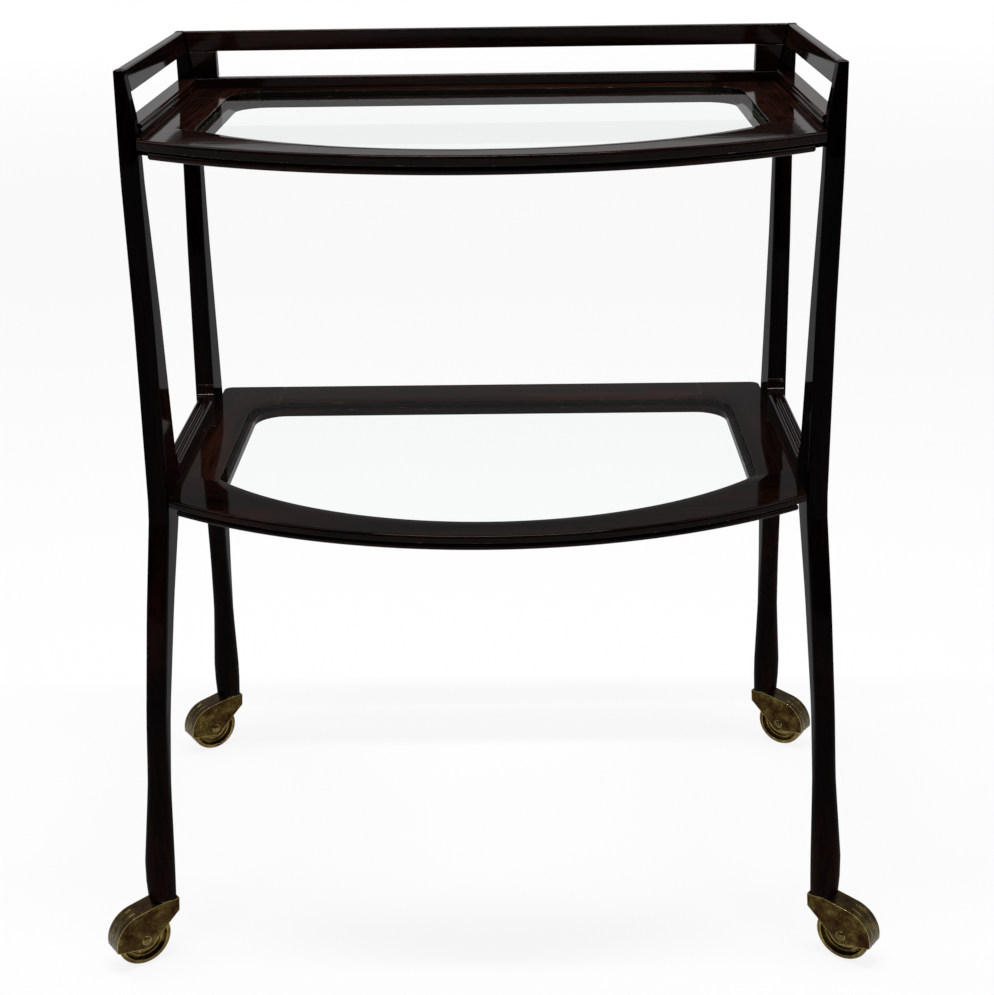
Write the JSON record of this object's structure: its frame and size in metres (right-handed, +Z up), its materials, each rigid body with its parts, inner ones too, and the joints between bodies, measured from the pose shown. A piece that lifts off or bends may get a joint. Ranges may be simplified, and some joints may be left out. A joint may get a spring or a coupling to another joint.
{
  "type": "serving cart",
  "caption": "Two-tier wooden serving cart with bow-fronted glazed trays, an open top gallery, swept legs and hooded brass casters.",
  "frame": {"origin": "on the floor, under the middle of the cart's bounding box", "axes": "+X to the right seen from the bowed front, +Y from the bowed front to the back gallery, +Z up"},
  "size_m": [0.6828, 0.4561, 0.771],
  "materials": {
    "lacquered_wood": "dark gloss lacquered mahogany",
    "dowel_wood": "plain turned hardwood",
    "glass": "clear polished",
    "brass": "aged brass, worn bright on its rings"
  },
  "bodies": {
    "root": {"leg_front_left": "lacquered_wood", "leg_front_right": "lacquered_wood", "leg_back_left": "lacquered_wood", "leg_back_right": "lacquered_wood", "upper_front_rail": "lacquered_wood", "upper_back_rail": "lacquered_wood", "upper_left_rail": "lacquered_wood", "upper_right_rail": "lacquered_wood", "upper_edge_moulding": "lacquered_wood", "upper_glass": "glass", "lower_front_rail": "lacquered_wood", "lower_back_rail": "lacquered_wood", "lower_left_rail": "lacquered_wood", "lower_right_rail": "lacquered_wood", "lower_edge_moulding": "lacquered_wood", "lower_glass": "glass", "gallery_left_rail": "lacquered_wood", "gallery_right_rail": "lacquered_wood", "gallery_back_rail": "lacquered_wood", "gallery_left_stile": "lacquered_wood", "gallery_right_stile": "lacquered_wood", "gallery_back_sill": "lacquered_wood", "upper_left_sill": "lacquered_wood", "upper_right_sill": "lacquered_wood", "lower_left_stretcher": "lacquered_wood", "lower_right_stretcher": "lacquered_wood", "frame_dowels": "dowel_wood", "leg_dowels": "dowel_wood", "stretcher_dowels": "dowel_wood", "socket_front_left": "brass", "socket_front_right": "brass", "socket_back_left": "brass", "socket_back_right": "brass"},
    "swivel_front_left": {"stem_front_left": "brass", "hood_front_left": "brass", "axle_front_left": "brass"},
    "roller_front_left": {"wheel_front_left": "brass"},
    "swivel_front_right": {"stem_front_right": "brass", "hood_front_right": "brass", "axle_front_right": "brass"},
    "roller_front_right": {"wheel_front_right": "brass"},
    "swivel_back_left": {"stem_back_left": "brass", "hood_back_left": "brass", "axle_back_left": "brass"},
    "roller_back_left": {"wheel_back_left": "brass"},
    "swivel_back_right": {"stem_back_right": "brass", "hood_back_right": "brass", "axle_back_right": "brass"},
    "roller_back_right": {"wheel_back_right": "brass"}
  },
  "joints": [
    {"name": "swivel_front_left_turn", "type": "hinge", "parent": "root", "child": "swivel_front_left", "pos_m": [-0.294, -0.1851, 0.053], "axis": [0, 0, 1], "continuous": true},
    {"name": "roller_front_left_spin", "type": "hinge", "parent": "swivel_front_left", "child": "roller_front_left", "pos_m": [-0.31243, -0.198, 0.025], "axis": [-0.5736, 0.8192, 0], "continuous": true},
    {"name": "swivel_front_right_turn", "type": "hinge", "parent": "root", "child": "swivel_front_right", "pos_m": [0.294, -0.1851, 0.053], "axis": [0, 0, 1], "continuous": true},
    {"name": "roller_front_right_spin", "type": "hinge", "parent": "swivel_front_right", "child": "roller_front_right", "pos_m": [0.31243, -0.198, 0.025], "axis": [0.5736, 0.8192, 0], "continuous": true},
    {"name": "swivel_back_left_turn", "type": "hinge", "parent": "root", "child": "swivel_back_left", "pos_m": [-0.294, 0.2129, 0.053], "axis": [0, 0, 1], "continuous": true},
    {"name": "roller_back_left_spin", "type": "hinge", "parent": "swivel_back_left", "child": "roller_back_left", "pos_m": [-0.31243, 0.2, 0.025], "axis": [-0.5736, 0.8192, 0], "continuous": true},
    {"name": "swivel_back_right_turn", "type": "hinge", "parent": "root", "child": "swivel_back_right", "pos_m": [0.294, 0.2129, 0.053], "axis": [0, 0, 1], "continuous": true},
    {"name": "roller_back_right_spin", "type": "hinge", "parent": "swivel_back_right", "child": "roller_back_right", "pos_m": [0.31243, 0.2, 0.025], "axis": [0.5736, 0.8192, 0], "continuous": true}
  ]
}
